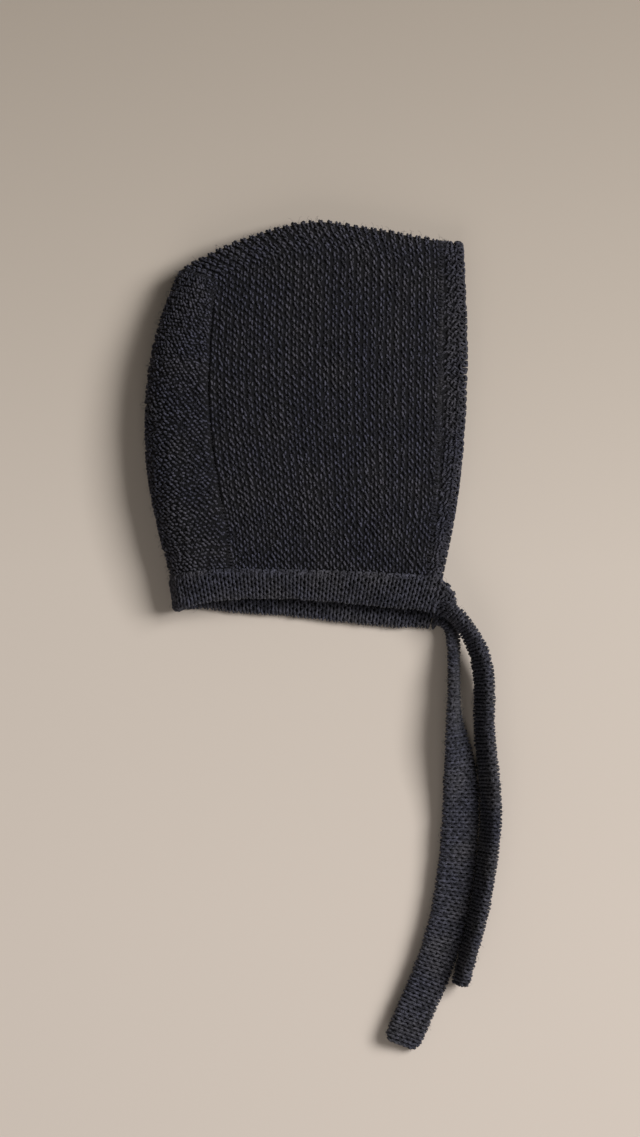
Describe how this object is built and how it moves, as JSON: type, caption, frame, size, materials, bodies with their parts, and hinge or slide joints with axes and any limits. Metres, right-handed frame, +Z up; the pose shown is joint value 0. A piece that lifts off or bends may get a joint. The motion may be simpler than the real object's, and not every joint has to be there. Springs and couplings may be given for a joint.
{
  "type": "baby bonnet",
  "caption": "Knitted baby bonnet lying on its side: garter stitch hood, gusset down the back, doubled hem and neck band, and two long knitted ties.",
  "frame": {"origin": "on the surface that the bonnet lies on, under the middle of the bonnet without its ties", "axes": "+X towards the face opening, +Y from the neck to the crown, +Z up from the surface, through the bonnet's two sides"},
  "size_m": [0.1594, 0.3733, 0.0307],
  "materials": {
    "garter_wool": "soft charcoal wool in garter stitch, matt with a slight fuzz",
    "hem_wool": "the same charcoal wool, doubled into a hem",
    "band_wool": "the same charcoal wool in plain stitch, slightly bluer and lighter"
  },
  "bodies": {
    "root": {"hood": "garter_wool", "back_panel": "garter_wool", "front_hem": "hem_wool", "neck_band": "band_wool", "tie_near": "band_wool", "tie_far": "band_wool"}
  },
  "joints": []
}
